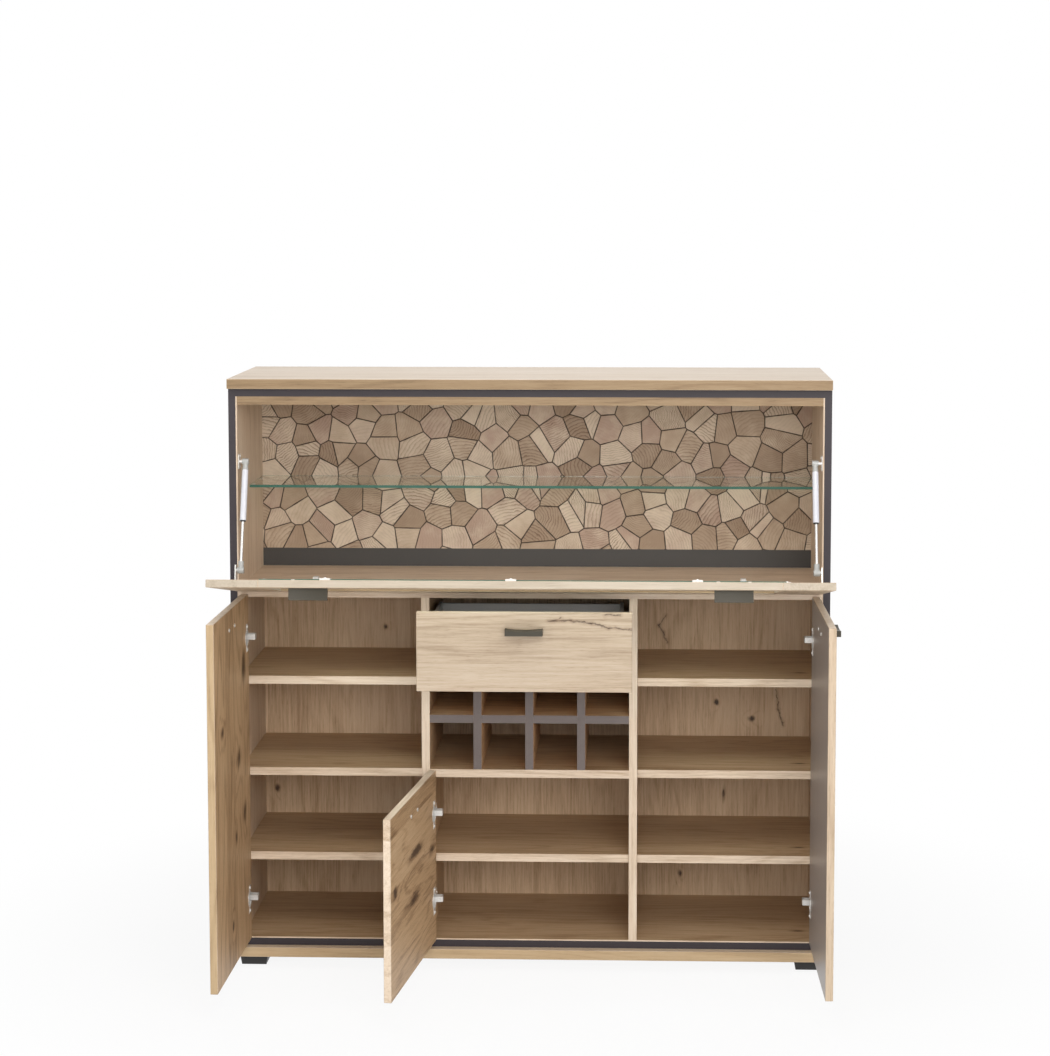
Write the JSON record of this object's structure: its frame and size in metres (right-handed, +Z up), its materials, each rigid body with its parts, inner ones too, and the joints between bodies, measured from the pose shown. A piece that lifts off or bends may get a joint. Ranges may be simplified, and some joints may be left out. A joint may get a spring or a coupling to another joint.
{
  "type": "highboard",
  "caption": "Bar highboard with a fall-front glazed flap on gas struts, cup-hinged doors, a drawer over a bottle rack, shelves and a glass shelf",
  "frame": {"origin": "on the floor under the middle of the carcass, at the centre support foot", "axes": "+X to the viewer's right, -Y out of the front, +Z up"},
  "size_m": [1.3402, 0.8608, 1.33],
  "materials": {
    "oak": "textured wild-oak laminate, satin",
    "oak_inside": "textured wild-oak laminate, satin",
    "mosaic": "end-grain polygon mosaic, matt",
    "graphite": "matt graphite melamine on chipboard",
    "clear_glass": "clear float glass",
    "handle_metal": "dark grey powder coat",
    "nickel": "nickel-plated steel",
    "strut_grey": "light grey lacquer",
    "clip_white": "white moulded plastic",
    "drawer_grey": "grey powder coat",
    "foot_black": "black moulded plastic"
  },
  "bodies": {
    "carcass": {"top_panel": "oak", "bottom_panel": "oak", "left_side_panel": "graphite", "right_side_panel": "graphite", "side_linings": "oak_inside", "top_frame_board": "graphite", "ceiling_panel": "oak_inside", "floor_board": "graphite", "floor_lining": "oak_inside", "middle_panel": "oak_inside", "dividers": "oak_inside", "back_panel": "oak_inside", "mosaic_back_panel": "mosaic", "back_wall_strip": "graphite", "shelves": "oak_inside", "shelf_pins": "nickel", "glass_shelf": "clear_glass", "rack_floor_panel": "oak_inside", "drawer_support_panel": "oak_inside", "rack_uprights": "oak_inside", "rack_cross_board": "oak_inside", "feet": "foot_black", "centre_support_foot": "foot_black", "left_door_hinge_arms": "nickel", "right_door_hinge_arms": "nickel", "centre_door_hinge_arms": "nickel", "flap_hinge_arms": "nickel", "drawer_rails": "drawer_grey", "strut_side_brackets": "nickel"},
    "flap": {"flap_stiles": "oak", "flap_rails": "oak", "flap_glass": "clear_glass", "flap_glass_clips": "clip_white", "flap_handles": "handle_metal", "flap_handle_screws": "nickel", "flap_hinge_cups": "nickel", "flap_strut_brackets": "nickel"},
    "left_door": {"left_door_panel": "oak", "left_door_handle": "handle_metal", "left_door_handle_screws": "nickel", "left_door_hinge_cups": "nickel"},
    "right_door": {"right_door_panel": "oak", "right_door_handle": "handle_metal", "right_door_handle_screws": "nickel", "right_door_hinge_cups": "nickel"},
    "centre_door": {"centre_door_panel": "oak", "centre_door_handle": "handle_metal", "centre_door_handle_screws": "nickel", "centre_door_hinge_cups": "nickel"},
    "drawer": {"drawer_front": "oak", "drawer_walls": "drawer_grey", "drawer_bottom": "drawer_grey", "drawer_handle": "handle_metal", "drawer_handle_screws": "nickel", "drawer_slides": "drawer_grey"},
    "left_strut_body": {"left_strut_cylinder": "strut_grey"},
    "left_strut_piston": {"left_strut_rod": "nickel"},
    "right_strut_body": {"right_strut_cylinder": "strut_grey"},
    "right_strut_piston": {"right_strut_rod": "nickel"}
  },
  "joints": [
    {"name": "flap_hinge", "type": "hinge", "parent": "carcass", "child": "flap", "pos_m": [0, -0.204, 0.8635], "axis": [1, 0, 0], "range_deg": [-80, 0]},
    {"name": "left_door_hinge", "type": "hinge", "parent": "carcass", "child": "left_door", "pos_m": [-0.635, -0.204, 0], "axis": [0, 0, -1], "range_deg": [-91, 7]},
    {"name": "right_door_hinge", "type": "hinge", "parent": "carcass", "child": "right_door", "pos_m": [0.635, -0.204, 0], "axis": [0, 0, 1], "range_deg": [-91, 7]},
    {"name": "centre_door_hinge", "type": "hinge", "parent": "carcass", "child": "centre_door", "pos_m": [-0.2195, -0.204, 0], "axis": [0, 0, -1], "range_deg": [-97, 1]},
    {"name": "drawer_slide", "type": "slide", "parent": "carcass", "child": "drawer", "axis": [0, -1, 0], "range_m": [-0.22, 0.04]},
    {"name": "left_strut_turn", "type": "hinge", "parent": "carcass", "child": "left_strut_body", "pos_m": [-0.63, -0.175, 1.144], "axis": [1, 0, 0], "range_deg": [0, 22.66]},
    {"name": "left_strut_stroke", "type": "slide", "parent": "left_strut_body", "child": "left_strut_piston", "axis": [0, -0.3425, -0.9395], "range_m": [-0.02831, 0]},
    {"name": "right_strut_turn", "type": "hinge", "parent": "carcass", "child": "right_strut_body", "pos_m": [0.63, -0.175, 1.144], "axis": [1, 0, 0], "range_deg": [0, 22.66]},
    {"name": "right_strut_stroke", "type": "slide", "parent": "right_strut_body", "child": "right_strut_piston", "axis": [0, -0.3425, -0.9395], "range_m": [-0.02831, 0]}
  ],
  "couplings": [
    {"joint": "left_strut_turn", "follows": "flap_hinge", "ratio": -0.28328},
    {"joint": "left_strut_stroke", "follows": "flap_hinge", "m_per_rad": 0.020272},
    {"joint": "right_strut_turn", "follows": "flap_hinge", "ratio": -0.28328},
    {"joint": "right_strut_stroke", "follows": "flap_hinge", "m_per_rad": 0.020272}
  ]
}
